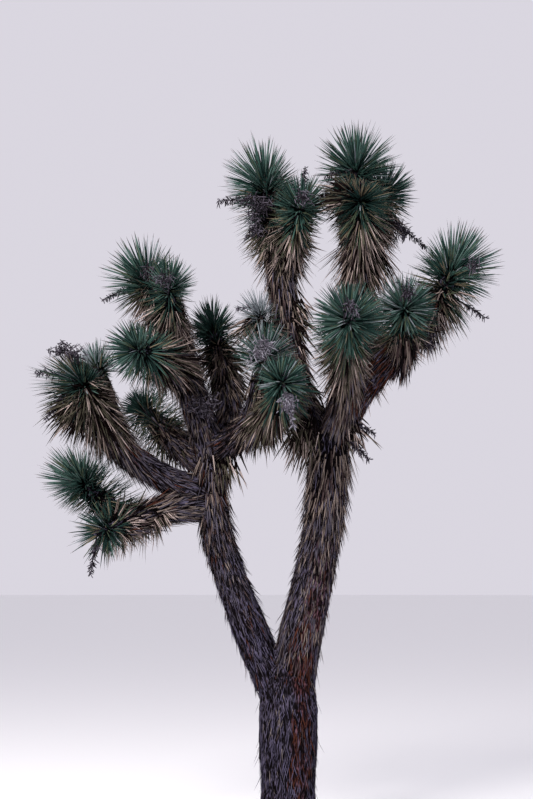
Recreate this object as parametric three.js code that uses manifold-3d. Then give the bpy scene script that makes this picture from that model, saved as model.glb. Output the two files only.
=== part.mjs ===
import * as THREE from 'three';
import { mergeVertices } from 'three/addons/utils/BufferGeometryUtils.js';
import Module from 'manifold-3d';

// A joshua tree 4.6 m tall: a short trunk, two limbs, shaggy boughs and a rosette of stiff leaves
// at the end of each bough. Millimetres, +Z up, +X to the viewer's right, +Y away from the viewer.
// The origin is the middle of the flat cut under the trunk, at ground level.

const wasm = await Module();
wasm.setup();

const TOUCH_GAP = 0.3;
const SEED = 4711;
const GOLDEN_ANGLE = Math.PI * (3 - Math.sqrt(5));

// Trunk: height and radius of each station, from the root flare to the fork.
const TRUNK_STATIONS = [
  [0, 240], [110, 198], [290, 174], [600, 192], [780, 194], [920, 180], [1050, 145], [1140, 80],
];
const TRUNK_SIDES = 16;
const TRUNK_LEAN = 12;
const ROOT_LOBES = 5;
const ROOT_LOBE_SIZE = 0.07;
const ROOT_LOBE_TOP = 500;

const LIMB_SIDES = 9;
const LIMB_STEP = 230;
const CURVE_STATIONS = 7;
const BALL_STEP = 25;

// A rosette: live leaves round its heart, and a skirt of dead ones down the stem behind it.
// Sizes are shares of its reach to the side, and angles are degrees from its axis.
const LIVE_LEAVES = 20;
const LIVE_SPREAD = 112;
const DEAD_LEAVES = 14;
const DEAD_FROM = 112;
const DEAD_TO = 150;
const DEAD_LENGTH = 1.3;
const DEAD_DROOP = 0.7;
const DEAD_WIDTH = 1.5;
const LEAF_WIDTH = 0.2;
const LEAF_THICKNESS = 0.09;
const LEAF_SHORTER = [1, 0.85, 0.7, 0.55];
const LEAF_CLEARANCE = 4;
const SKIRT_LENGTH = 1.05;
const SKIRT_SIZE = 0.5;
const CORE_SIZE = 0.44;
const CORE_SIDES = 7;
const STEM_SHARE = 0.86;
const STEM_SUNK = 30;
const STALK_WIDTH = 16;

const FIBRE = { color: 0x7a6a5c, roughness: 0.95, metalness: 0 };
const BARK = { color: 0x6b5147, roughness: 0.95, metalness: 0 };
const LEAF_GREEN = { color: 0x5b7f72, roughness: 0.6, metalness: 0 };

// The two limbs that the trunk forks into: a route from inside the trunk, and a radius at each end.
const LIMBS = [
  { name: 'right_limb', radii: [153, 138],
    route: [[15, 0, 780], [65, -5, 1130], [220, -30, 1865], [270, -45, 2300], [285, -45, 2520]] },
  { name: 'left_limb', radii: [125, 110],
    route: [[-15, 0, 800], [-205, 35, 1220], [-440, 90, 1865], [-497, 105, 2200], [-480, 110, 2480]] },
];

// Boughs: a route that starts inside the limb or bough that bears it, and the rosette at its end,
// with the place of its heart, its reach forward and to the side, and its dry flower stalks.
const BOUGHS = [
  { name: 'upper_left', radii: [122, 92],
    route: [[-490, 110, 2425], [-635, 95, 2875], [-800, 110, 3335]],
    heart: [-950, 150, 3620], reach: 305, side: 300, stalks: [[-285, 0, -130]] },
  { name: 'upper_left_inner', radii: [86, 76],
    route: [[-705, 95, 3105], [-735, -10, 3270]],
    heart: [-755, -180, 3530], reach: 240, side: 225, stalks: [] },
  { name: 'near_left', radii: [92, 82],
    route: [[-660, 90, 2950], [-755, -110, 3010]],
    heart: [-950, -480, 3040], reach: 245, side: 215, stalks: [] },
  { name: 'far_left', radii: [104, 88],
    route: [[-520, 105, 2175], [-795, 60, 2270], [-1020, 0, 2420], [-1190, -70, 2650]],
    heart: [-1345, -150, 2920], reach: 310, side: 300, stalks: [[-235, -40, 185], [-320, -30, 35], [-235, -60, -240]] },
  { name: 'far_left_back', radii: [84, 74],
    route: [[-1095, -20, 2510], [-1180, 80, 2720]],
    heart: [-1265, 190, 3040], reach: 220, side: 205, stalks: [] },
  { name: 'back_left', radii: [96, 84],
    route: [[-495, 110, 2325], [-690, 300, 2480]],
    heart: [-1020, 680, 2810], reach: 275, side: 260, stalks: [] },
  { name: 'low_left', radii: [112, 84],
    route: [[-515, 105, 2095], [-790, 0, 2060], [-1050, -85, 2005]],
    heart: [-1330, -160, 2280], reach: 285, side: 220, stalks: [] },
  { name: 'lowest_left', radii: [86, 76],
    route: [[-885, -30, 2040], [-1005, -170, 1975]],
    heart: [-1140, -430, 1905], reach: 235, side: 220, stalks: [[-45, -40, -275]] },
  { name: 'inner_left', radii: [92, 74],
    route: [[-475, 110, 2455], [-380, 270, 2775], [-415, 400, 2995]],
    heart: [-515, 560, 3365], reach: 250, side: 225, stalks: [] },
  { name: 'front_middle', radii: [104, 84],
    route: [[-470, 110, 2445], [-300, -90, 2545], [-190, -310, 2670]],
    heart: [-135, -540, 3015], reach: 235, side: 225, stalks: [] },
  { name: 'front_middle_low', radii: [86, 76],
    route: [[-225, -230, 2620], [-100, -480, 2680]],
    heart: [-30, -780, 2815], reach: 250, side: 230, stalks: [[40, -60, -270]] },
  { name: 'back_middle', radii: [104, 84],
    route: [[-470, 110, 2485], [-270, 380, 2630]],
    heart: [-35, 880, 2960], reach: 275, side: 260, stalks: [] },
  { name: 'top_middle', radii: [118, 88],
    route: [[280, -45, 2445], [110, 40, 2745], [25, 75, 3085], [-15, 65, 3450], [-65, 60, 3890]],
    heart: [-150, 60, 4262], reach: 310, side: 295, stalks: [[-300, 0, -120], [-120, -60, -330]] },
  { name: 'small_middle', radii: [66, 56],
    route: [[10, 75, 3085], [-100, 45, 3190]],
    heart: [-185, 20, 3365], reach: 180, side: 160, stalks: [[-130, 0, 55]] },
  { name: 'top_middle_front', radii: [82, 74],
    route: [[-25, 60, 3620], [30, -20, 3790]],
    heart: [100, -240, 4035], reach: 230, side: 215, stalks: [[30, 20, 240]] },
  { name: 'top_middle_back', radii: [84, 76],
    route: [[-25, 60, 3600], [-20, 220, 3820]],
    heart: [-10, 520, 4155], reach: 270, side: 255, stalks: [] },
  { name: 'top_right', radii: [124, 90],
    route: [[295, -40, 2510], [420, 20, 2945], [475, 40, 3415], [480, 40, 3950]],
    heart: [470, 30, 4360], reach: 305, side: 300, stalks: [[-230, -40, -50]] },
  { name: 'top_right_front', radii: [90, 80],
    route: [[475, 40, 3700], [490, -80, 3840]],
    heart: [475, -290, 4085], reach: 285, side: 265, stalks: [] },
  { name: 'top_right_side', radii: [86, 76],
    route: [[480, 40, 3785], [580, 140, 3985]],
    heart: [685, 270, 4245], reach: 245, side: 215, stalks: [[290, -30, -450]] },
  { name: 'top_right_back', radii: [86, 78],
    route: [[475, 40, 3680], [480, 250, 3930]],
    heart: [450, 600, 4270], reach: 250, side: 235, stalks: [] },
  { name: 'front_right', radii: [112, 88],
    route: [[300, -40, 2495], [370, -230, 2770], [380, -480, 3000]],
    heart: [370, -800, 3195], reach: 275, side: 265, stalks: [] },
  { name: 'far_right', radii: [112, 92],
    route: [[300, -40, 2525], [520, -60, 2870], [755, -70, 3130], [940, -60, 3330]],
    heart: [1115, -20, 3665], reach: 325, side: 320, stalks: [[215, -30, -345]] },
  { name: 'near_right', radii: [88, 78],
    route: [[735, -70, 3060], [755, -210, 3150]],
    heart: [735, -480, 3325], reach: 235, side: 225, stalks: [] },
  { name: 'back_right', radii: [108, 86],
    route: [[310, -40, 2525], [430, 210, 2835], [515, 520, 3100]],
    heart: [585, 850, 3330], reach: 280, side: 265, stalks: [] },
];

let randomState = SEED;

function random() {
  randomState = (randomState * 16807) % 2147483647;
  return randomState / 2147483647;
}

function toSolid(geometry) {
  geometry.deleteAttribute('normal');
  geometry.deleteAttribute('uv');
  const merged = mergeVertices(geometry, 1e-3);
  return new wasm.Manifold(new wasm.Mesh({
    numProp: 3,
    vertProperties: new Float32Array(merged.attributes.position.array),
    triVerts: new Uint32Array(merged.index.array),
  }));
}

function toGeometry(solid) {
  const mesh = solid.getMesh();
  const geometry = new THREE.BufferGeometry();
  geometry.setAttribute('position', new THREE.BufferAttribute(mesh.vertProperties, 3));
  geometry.setIndex(new THREE.BufferAttribute(mesh.triVerts, 1));
  return geometry;
}

function largestPiece(solid) {
  return solid.decompose().reduce((best, piece) => (piece.volume() > best.volume() ? piece : best));
}

// A solid with its origin moved to a point, so that its small numbers stay exact.
function seenFrom(solid, origin) {
  return solid.translate([-origin.x, -origin.y, -origin.z]);
}

function trunkTube(grow) {
  const profile = TRUNK_STATIONS.map(([height, radius]) => new THREE.Vector2(radius + grow, height));
  profile.unshift(new THREE.Vector2(0, profile[0].y));
  profile.at(-1).y += grow;
  profile.push(new THREE.Vector2(0, profile.at(-1).y));
  const tube = new THREE.LatheGeometry(profile, TRUNK_SIDES);
  tube.rotateX(Math.PI / 2);
  const place = tube.attributes.position;
  for (let i = 0; i < place.count; i += 1) {
    const height = place.getZ(i);
    const angle = Math.atan2(place.getY(i), place.getX(i));
    const lobe = 1 + ROOT_LOBE_SIZE * Math.cos(ROOT_LOBES * angle) * Math.max(0, 1 - height / ROOT_LOBE_TOP);
    const lean = TRUNK_LEAN * height / 1000;
    place.setXYZ(i, place.getX(i) * lobe + lean, place.getY(i) * lobe, height);
  }
  return toSolid(tube);
}

// The curve of a limb. A bough's runs on to its rosette's heart, and the bough ends where the skirt starts.
function layOutLimb(limb) {
  const points = limb.heart ? [...limb.route, limb.heart] : limb.route;
  const whole = new THREE.CatmullRomCurve3(points.map((point) => new THREE.Vector3(...point)));
  const skirt = limb.heart ? SKIRT_LENGTH * limb.side : 0;
  const share = 1 - skirt / whole.getLength();
  const stations = Array.from({ length: CURVE_STATIONS }, (_, i) => share * i / (CURVE_STATIONS - 1));
  limb.curve = new THREE.CatmullRomCurve3(stations.map((station) => whole.getPointAt(station)));
  limb.tip = limb.curve.getPointAt(1);
}

// A tapering limb: a cylinder bent along its curve.
function limbTube({ curve, radii }, grow) {
  const steps = Math.max(2, Math.round(curve.getLength() / LIMB_STEP));
  const frames = curve.computeFrenetFrames(steps);
  const tube = new THREE.CylinderGeometry(1, 1, 1, LIMB_SIDES, steps);
  const place = tube.attributes.position;
  for (let i = 0; i < place.count; i += 1) {
    const share = place.getY(i) + 0.5;
    const ring = Math.round(share * steps);
    const radius = THREE.MathUtils.lerp(radii[0], radii[1], share) + grow;
    const point = curve.getPointAt(share);
    point.addScaledVector(frames.tangents[ring], ring === 0 ? -grow : ring === steps ? grow : 0);
    point.addScaledVector(frames.binormals[ring], place.getX(i) * radius);
    point.addScaledVector(frames.normals[ring], place.getZ(i) * radius);
    place.setXYZ(i, point.x, point.y, point.z);
  }
  return toSolid(tube);
}

// A stiff keeled leaf: a flattened three-sided spike with its root at the origin and its tip up +Y.
function leafBlade(length, width, thickness) {
  const blade = new THREE.ConeGeometry(1, length, 3);
  blade.scale(width / Math.sqrt(3), 1, thickness / 1.5);
  blade.translate(0, length / 2, 0);
  return blade;
}

// A dry flower stalk: a three-sided twig from inside the core to its tip.
function stalkTwig(start, tip) {
  const twig = new THREE.CylinderGeometry(STALK_WIDTH / 4, STALK_WIDTH / 2, start.distanceTo(tip), 3);
  const along = tip.clone().sub(start).normalize();
  twig.applyQuaternion(new THREE.Quaternion().setFromUnitVectors(new THREE.Vector3(0, 1, 0), along));
  twig.translate(...start.clone().lerp(tip, 0.5).toArray());
  return twig;
}

// Radius and distance past the heart of each station of a core: a stem that meets the bough's tip
// and swells through the skirt to the heart of the live leaves.
function coreStations(bough) {
  const swell = CORE_SIZE * bough.side;
  const length = bough.tip.distanceTo(bough.heartPoint) + STEM_SUNK;
  const stem = STEM_SHARE * bough.radii[1];
  return [
    [stem, -length], [stem * 1.08, -length * 0.7], [SKIRT_SIZE * bough.side, -length * 0.35],
    [swell, 0], [swell * 0.7, swell * 0.6], [0, swell * 0.9],
  ];
}

function rosetteCore(bough) {
  const stations = coreStations(bough);
  const profile = [[0, stations[0][1]], ...stations].map((point) => new THREE.Vector2(...point));
  const core = new THREE.LatheGeometry(profile, CORE_SIDES);
  core.applyQuaternion(new THREE.Quaternion().setFromUnitVectors(new THREE.Vector3(0, 1, 0), bough.axis));
  return core;
}

// True where a leaf stays on this rosette's side of the planes between it and the others.
function keepsToItsSpace(bough, root, tip, width) {
  return BOUGHS.every((other) => {
    if (other === bough) {
      return true;
    }
    const across = other.heartPoint.clone().sub(bough.heartPoint);
    const plane = across.length() * bough.side / (bough.side + other.side);
    across.normalize();
    return root.dot(across) + width < plane && tip.dot(across) + LEAF_CLEARANCE < plane;
  });
}

// True where a leaf passes every limb and every other core with room for its own half width.
function passesTheOthers(bough, root, tip, width) {
  for (let share = 0.4; share <= 1; share += 0.06) {
    const point = root.clone().lerp(tip, share).add(bough.heartPoint);
    const room = LEAF_CLEARANCE + width * 0.6 * (1 - share);
    const blocked = bulk.some((ball) => ball.owner !== bough && ball.point.distanceTo(point) < ball.radius + room);
    if (blocked) {
      return false;
    }
  }
  return true;
}

// Fuses on a leaf as long as its space and the limbs allow, or none.
function addLeaf(bough, blades, root, direction, longest, width) {
  const across = new THREE.Vector3().crossVectors(bough.axis, direction).normalize();
  const thick = new THREE.Vector3().crossVectors(across, direction);
  const frame = new THREE.Matrix4().makeBasis(across, direction, thick).setPosition(root);
  for (const shorter of LEAF_SHORTER) {
    const tip = root.clone().addScaledVector(direction, longest * shorter);
    if (keepsToItsSpace(bough, root, tip, width) && passesTheOthers(bough, root, tip, width)) {
      const blade = leafBlade(longest * shorter, width, LEAF_THICKNESS * bough.side);
      blades.push(toSolid(blade.applyMatrix4(frame)));
      return;
    }
  }
}

// A rosette: its core, live leaves all round its heart, and a skirt of dead ones folded back.
function rosetteSolid(bough, limbs) {
  const { axis } = bough;
  const stemEnd = bough.tip.clone().sub(bough.heartPoint);
  const level = Math.abs(axis.z) > 0.9 ? new THREE.Vector3(1, 0, 0) : new THREE.Vector3(0, 0, 1);
  const right = new THREE.Vector3().crossVectors(axis, level).normalize();
  const up = new THREE.Vector3().crossVectors(right, axis);
  const swell = CORE_SIZE * bough.side;
  const blades = [];
  for (let i = 0; i < LIVE_LEAVES + DEAD_LEAVES; i += 1) {
    const turn = i * GOLDEN_ANGLE + 0.4 * random();
    const outward = right.clone().multiplyScalar(Math.cos(turn)).addScaledVector(up, Math.sin(turn));
    if (i < LIVE_LEAVES) {
      const share = (i + 0.5) / LIVE_LEAVES;
      const tilt = Math.acos(1 - share * (1 - Math.cos(THREE.MathUtils.degToRad(LIVE_SPREAD))));
      const direction = axis.clone().multiplyScalar(Math.cos(tilt)).addScaledVector(outward, Math.sin(tilt));
      const reach = Math.hypot(bough.reach * Math.cos(tilt), bough.side * Math.sin(tilt));
      const root = direction.clone().multiplyScalar(swell * 0.4);
      const length = (reach - swell * 0.4) * (0.95 + 0.05 * random());
      addLeaf(bough, blades, root, direction, length, LEAF_WIDTH * bough.side);
    } else {
      const share = (i - LIVE_LEAVES + 0.5) / DEAD_LEAVES;
      const tilt = THREE.MathUtils.degToRad(THREE.MathUtils.lerp(DEAD_FROM, DEAD_TO, share));
      const direction = axis.clone().multiplyScalar(Math.cos(tilt)).addScaledVector(outward, Math.sin(tilt));
      direction.z -= DEAD_DROOP;
      direction.normalize();
      const root = stemEnd.clone().multiplyScalar(0.15 + 0.5 * share).addScaledVector(outward, swell * 0.5);
      const length = DEAD_LENGTH * bough.side * (0.85 + 0.15 * random());
      addLeaf(bough, blades, root, direction, length, DEAD_WIDTH * LEAF_WIDTH * bough.side);
    }
  }
  for (const tip of bough.stalks) {
    const point = new THREE.Vector3(...tip);
    const start = point.clone().normalize().multiplyScalar(swell * 0.4);
    blades.push(toSolid(stalkTwig(start, point)));
  }
  const core = toSolid(rosetteCore(bough)).subtract(seenFrom(limbs, bough.heartPoint));
  return largestPiece(blades.reduce((joined, blade) => joined.add(blade), largestPiece(core)));
}

const tree = new THREE.Group();

function addPart(name, solid, look, origin) {
  const mesh = new THREE.Mesh(toGeometry(solid), new THREE.MeshStandardMaterial(look));
  mesh.name = name;
  mesh.position.copy(origin);
  tree.add(mesh);
}

const base = new THREE.Vector3(0, 0, 0);
addPart('trunk', trunkTube(0), BARK, base);

// The limbs and the cores as rows of balls, which the leaves keep clear of.
const bulk = [];

function addBulk(stations, owner) {
  for (let i = 1; i < stations.length; i += 1) {
    const [from, to] = [stations[i - 1], stations[i]];
    const count = Math.ceil(from.point.distanceTo(to.point) / BALL_STEP);
    for (let k = 0; k <= count; k += 1) {
      const radius = THREE.MathUtils.lerp(from.radius, to.radius, k / count);
      bulk.push({ owner, radius, point: from.point.clone().lerp(to.point, k / count) });
    }
  }
}

// Each limb starts inside the one that bears it and is cut clear of all that went before it.
let grown = trunkTube(TOUCH_GAP);
for (const limb of [...LIMBS, ...BOUGHS]) {
  layOutLimb(limb);
  const solid = seenFrom(limbTube(limb, 0), limb.tip).subtract(seenFrom(grown, limb.tip));
  addPart(LIMBS.includes(limb) ? limb.name : `bough_${limb.name}`, largestPiece(solid), FIBRE, limb.tip);
  grown = grown.add(limbTube(limb, TOUCH_GAP));
  const shares = Array.from({ length: CURVE_STATIONS }, (_, i) => i / (CURVE_STATIONS - 1));
  addBulk(shares.map((share) => ({
    point: limb.curve.getPointAt(share),
    radius: THREE.MathUtils.lerp(limb.radii[0], limb.radii[1], share),
  })));
}

for (const bough of BOUGHS) {
  bough.heartPoint = new THREE.Vector3(...bough.heart);
  bough.axis = bough.heartPoint.clone().sub(bough.tip).normalize();
  addBulk(coreStations(bough).map(([radius, past]) => ({
    point: bough.heartPoint.clone().addScaledVector(bough.axis, past),
    radius,
  })), bough);
}

for (const bough of BOUGHS) {
  addPart(`rosette_${bough.name}`, rosetteSolid(bough, grown), LEAF_GREEN, bough.heartPoint);
}

export default tree;
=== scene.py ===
import math

import bpy
import numpy as np
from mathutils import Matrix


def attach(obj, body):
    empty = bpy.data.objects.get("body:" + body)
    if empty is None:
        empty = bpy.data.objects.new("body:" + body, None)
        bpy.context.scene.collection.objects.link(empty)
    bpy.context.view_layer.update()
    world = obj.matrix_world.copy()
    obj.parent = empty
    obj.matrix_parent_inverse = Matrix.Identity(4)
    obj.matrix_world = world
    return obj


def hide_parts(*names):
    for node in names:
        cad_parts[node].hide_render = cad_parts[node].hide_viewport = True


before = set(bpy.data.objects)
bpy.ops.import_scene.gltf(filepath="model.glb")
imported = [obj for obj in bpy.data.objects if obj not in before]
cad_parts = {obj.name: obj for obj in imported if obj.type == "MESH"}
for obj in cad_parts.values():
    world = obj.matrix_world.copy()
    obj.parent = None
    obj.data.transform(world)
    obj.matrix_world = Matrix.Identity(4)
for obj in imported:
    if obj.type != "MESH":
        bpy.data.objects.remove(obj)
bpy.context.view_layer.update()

# A joshua tree about 4.6 m tall, in metres: +Z up, +X to the viewer's right, +Y away from the viewer.
# The limbs and rosettes repeat the frame's routes, and everything grows from them by one seeded rule.

draw = np.random.default_rng(4711)
goldenAngle = math.pi * (3 - math.sqrt(5))
downward = np.array((0.0, 0.0, -1.0))
curveSteps = 40  # points between two of a route
blockSize = 4000  # points whose distances are worked out at a time

cameraSetup = {"place": (-0.130, -10.10, 1.6375), "pitch": 6.45, "lens": 70.0, "longSide": 36.0}

# Each light has its name, place, size, energy and colour, and they all aim at one point.
studio = {
    "floorRadius": 120.0, "floorSides": 96, "floorColour": (0.90, 0.90, 0.90), "floorRoughness": 0.9,
    "skyColour": (0.70, 0.675, 0.745), "aim": (-0.1, 0.0, 2.4),
    "lights": [("keyLight", (-5.0, -7.5, 7.5), 4.5, 1500.0, (1.0, 0.96, 0.93)),
               ("fillLight", (6.5, -5.0, 4.0), 5.0, 260.0, (0.88, 0.92, 1.0))],
}

trunkShape = {
    "stations": [(0.0, 0.240), (0.110, 0.198), (0.290, 0.174), (0.600, 0.192), (0.780, 0.194),
                 (0.920, 0.180), (1.050, 0.145), (1.140, 0.080)],
    "lean": 0.012, "lobes": 5, "lobeSize": 0.07, "lobeTop": 0.500,
}

# The two limbs that the trunk forks into. Below the height that a limb may give, the thatch is painted darker
# and slate-grey, as shade near the ground.
limbs = [
    {"name": "right_limb", "radii": (0.153, 0.138),
     "route": [(0.015, 0, 0.780), (0.065, -0.005, 1.130), (0.220, -0.030, 1.865), (0.270, -0.045, 2.300),
               (0.285, -0.045, 2.520)]},
    {"name": "left_limb", "radii": (0.125, 0.110), "groundShadeTo": 1.65, "weathered": 0.3, "dark": 0.1,
     "route": [(-0.015, 0, 0.800), (-0.205, 0.035, 1.220), (-0.440, 0.090, 1.865), (-0.497, 0.105, 2.200),
               (-0.480, 0.110, 2.480)]},
]

# Boughs: name, radii at both ends, route, heart of the rosette, and its reach forward and to the side.
boughKeys = ("name", "radii", "route", "heart", "reach", "side")
boughs = [dict(zip(boughKeys, row)) for row in (
    ("upper_left", (0.122, 0.092), [(-0.490, 0.110, 2.425), (-0.635, 0.095, 2.875), (-0.800, 0.110, 3.335)],
     (-0.950, 0.150, 3.620), 0.305, 0.300),
    ("upper_left_inner", (0.086, 0.076), [(-0.705, 0.095, 3.105), (-0.735, -0.010, 3.270)],
     (-0.765, -0.180, 3.520), 0.230, 0.215),
    ("near_left", (0.092, 0.082), [(-0.660, 0.090, 2.950), (-0.755, -0.110, 3.010)], (-0.950, -0.480, 3.040),
     0.245, 0.215),
    ("far_left", (0.104, 0.088), [(-0.520, 0.105, 2.175), (-0.795, 0.060, 2.270), (-1.020, 0, 2.420),
     (-1.190, -0.070, 2.650)], (-1.345, -0.150, 2.920), 0.330, 0.320),
    ("far_left_back", (0.084, 0.074), [(-1.095, -0.020, 2.510), (-1.180, 0.080, 2.720)],
     (-1.265, 0.190, 3.040), 0.220, 0.205),
    ("back_left", (0.096, 0.084), [(-0.495, 0.110, 2.325), (-0.690, 0.300, 2.480)], (-1.020, 0.680, 2.810),
     0.275, 0.260),
    ("low_left", (0.112, 0.084), [(-0.515, 0.105, 2.095), (-0.790, 0, 2.060), (-1.050, -0.085, 2.005)],
     (-1.335, -0.160, 2.255), 0.300, 0.225),
    ("lowest_left", (0.086, 0.076), [(-0.885, -0.030, 2.040), (-1.005, -0.170, 1.975)],
     (-1.155, -0.430, 1.905), 0.235, 0.225),
    ("inner_left", (0.092, 0.074), [(-0.475, 0.110, 2.455), (-0.380, 0.270, 2.775), (-0.415, 0.400, 2.995)],
     (-0.515, 0.560, 3.365), 0.250, 0.225),
    ("front_middle", (0.104, 0.084), [(-0.470, 0.110, 2.445), (-0.300, -0.090, 2.545),
     (-0.190, -0.310, 2.670)], (-0.135, -0.540, 3.015), 0.235, 0.225),
    ("front_middle_low", (0.086, 0.076), [(-0.225, -0.230, 2.620), (-0.100, -0.480, 2.680)],
     (-0.030, -0.780, 2.815), 0.250, 0.230),
    ("back_middle", (0.104, 0.084), [(-0.470, 0.110, 2.485), (-0.270, 0.380, 2.630)], (-0.035, 0.880, 2.960),
     0.275, 0.260),
    ("top_middle", (0.118, 0.088), [(0.280, -0.045, 2.445), (0.110, 0.040, 2.745), (0.025, 0.075, 3.085),
     (-0.015, 0.065, 3.450), (-0.065, 0.060, 3.890)], (-0.150, 0.060, 4.262), 0.315, 0.300),
    ("small_middle", (0.066, 0.056), [(0.010, 0.075, 3.085), (-0.100, 0.045, 3.190)], (-0.185, 0.020, 3.365),
     0.180, 0.160),
    ("top_middle_front", (0.082, 0.074), [(-0.025, 0.060, 3.620), (0.030, -0.020, 3.790)],
     (0.100, -0.240, 4.035), 0.230, 0.215),
    ("top_middle_back", (0.084, 0.076), [(-0.025, 0.060, 3.600), (-0.020, 0.220, 3.820)],
     (-0.010, 0.520, 4.155), 0.270, 0.255),
    ("top_right", (0.124, 0.090), [(0.295, -0.040, 2.510), (0.420, 0.020, 2.945), (0.475, 0.040, 3.415),
     (0.480, 0.040, 3.950)], (0.470, 0.030, 4.360), 0.310, 0.305),
    ("top_right_front", (0.090, 0.080), [(0.475, 0.040, 3.700), (0.490, -0.080, 3.840)],
     (0.475, -0.290, 4.085), 0.285, 0.265),
    ("top_right_side", (0.086, 0.076), [(0.480, 0.040, 3.785), (0.580, 0.140, 3.985)], (0.685, 0.270, 4.245),
     0.245, 0.215),
    ("top_right_back", (0.086, 0.078), [(0.475, 0.040, 3.680), (0.480, 0.250, 3.930)], (0.450, 0.600, 4.270),
     0.250, 0.235),
    ("front_right", (0.112, 0.088), [(0.300, -0.040, 2.495), (0.370, -0.230, 2.770), (0.380, -0.480, 3.000)],
     (0.370, -0.800, 3.195), 0.275, 0.265),
    ("far_right", (0.112, 0.092), [(0.300, -0.040, 2.525), (0.520, -0.060, 2.870), (0.755, -0.070, 3.130),
     (0.940, -0.060, 3.330)], (1.115, -0.020, 3.665), 0.325, 0.320),
    ("near_right", (0.088, 0.078), [(0.735, -0.070, 3.060), (0.755, -0.210, 3.150)], (0.735, -0.480, 3.325),
     0.235, 0.225),
    ("back_right", (0.108, 0.086), [(0.310, -0.040, 2.525), (0.430, 0.210, 2.835), (0.515, 0.520, 3.100)],
     (0.585, 0.850, 3.330), 0.280, 0.265),
)]


# How single rosettes and boughs differ. Shares of leaves: deep green (higher on some rosettes as painted
# shade), pale, dull (nothing teal behind the head), old (a dry heart), dim (a dark skirt), weathered (grey
# thatch) and dark (umber thatch). Factors: dense, skirtDense, slim (leaf width), trim (live reach),
# collarSize, skirtSize and sleek (how far thatch hangs).
# Degrees: skirtTilt. Distances: collarTo and skirtAt behind the heart, aging (along which thatch grows old)
# and room (how far a skirt may pass into the next space). Directions: hold, collarHold and skirtHold, where
# live leaves, the older ones behind them and dead ones are short, and face, which the head faces.
ways = {
    "upper_left": dict(hold=(0.15, 0, 0), collarTo=0.18, collarHold=(-0.2, 0, -0.5), skirtHold=(0.35, 0, 0),
        skirtSize=0.87),
    "upper_left_inner": dict(hold=(-0.35, 0, -0.35), trim=0.92, skirtHold=(0.75, 0, 0)),
    "near_left": dict(hold=(0.75, 0, -0.1), dim=0.4, weathered=0.45),
    "far_left": dict(deepAndShade=0.60, old=0.35, slim=0.7, dense=1.2, collarTo=0.15, hold=(0.35, 0, 0.55),
        collarHold=(0.9, 0, 0), skirtHold=(0.50, 0, 0.30), sleek=0.5, dim=0.25, aging=0.6, weathered=0.85),
    "far_left_back": dict(deepAndShade=0.05, pale=0.5, trim=0.85, skirtHold=(0.85, 0, -0.2)),
    "back_left": dict(deepAndShade=0.8, slim=0.55, dense=0.8, skirtDense=0.4, dim=0.8, collarTo=0.42, collarSize=1.2,
        hold=(-0.35, 0, 0.35), collarHold=(-0.4, 0, 0), skirtHold=(0.2, 0, -0.1), sleek=0, weathered=0.6),
    "low_left": dict(collarTo=0.42, dense=1.6, collarSize=1.15, dull=0.6, hold=(0, 0, 0.15),
        collarHold=(0, 0, -0.5), skirtHold=(0.7, 0, 0), sleek=0.2),
    "lowest_left": dict(deepAndShade=0.85, dense=0.5, slim=0.8, old=0.35, dull=1.0, trim=0.95, hold=(0.6, 0, 0.6),
        skirtHold=(0.65, 0, -0.1), sleek=0.2),
    "inner_left": dict(deepAndShade=0.80, dim=0.4, trim=0.92, hold=(-0.15, 0, 0)),
    "front_middle": dict(pale=0.35, dim=0.75, dark=0.45, collarHold=(-0.8, 0, -0.2),
        skirtHold=(-0.9, 0, -0.3), sleek=0.2),
    "front_middle_low": dict(deepAndShade=0.5, pale=0.08, trim=0.78, dull=0.8, dim=0.8, dark=0.4,
        collarHold=(-0.75, 0, 0.3), skirtHold=(-0.6, 0, 0.3)),
    "back_middle": dict(hold=(-0.55, 0, 0), skirtHold=(-0.55, 0, 0)),
    "top_middle": dict(collarTo=0.42, skirtAt=(0.28, 0.46), skirtDense=0.7, skirtSize=0.84, aging=1.8,
        dark=-0.12, hold=(0.25, 0, 0), collarHold=(0, 0, 0), skirtHold=(0.2, 0, 0), sleek=0.6),
    "top_middle_front": dict(collarHold=(0.35, 0, 0), skirtHold=(0.65, 0, 0), skirtSize=0.9, sleek=0.3),
    "small_middle": dict(pale=1.0, dense=0.9, slim=0.75),
    "top_right": dict(collarTo=0.34, skirtAt=(0.46, 0.80), skirtTilt=(120, 158), aging=1.6, room=0.5,
        face=(0, -0.62, 0.78), collarHold=(-0.3, 0, 0)),
    "top_right_front": dict(deepAndShade=0.8, old=0.6, dense=0.95, slim=0.85, hold=(0.2, 0, 0.55),
        collarHold=(-0.1, 0, 0), skirtHold=(-0.9, 0, 0)),
    "top_right_side": dict(deepAndShade=0.7),
    "top_right_back": dict(hold=(-0.4, 0, 0), skirtHold=(-0.8, 0, 0)),
    "front_right": dict(slim=0.8, dense=1.2, skirtHold=(0.3, 0, -0.15), skirtSize=0.85, dim=0.2),
    "far_right": dict(hold=(-0.25, 0, 0), collarHold=(0, 0, 0), skirtHold=(0, 0, -0.3), sleek=0.2, dark=0.90),
    "near_right": dict(deepAndShade=0.15, pale=0.15, collarTo=0.40, skirtHold=(0, 0, -0.65), skirtDense=0.6, dim=0.9,
        dark=0.6),
}
for bough in boughs:
    bough.update(ways.get(bough["name"], {}))


def unit(vectors):
    return vectors / np.maximum(np.linalg.norm(vectors, axis=-1, keepdims=True), 1e-9)


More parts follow.
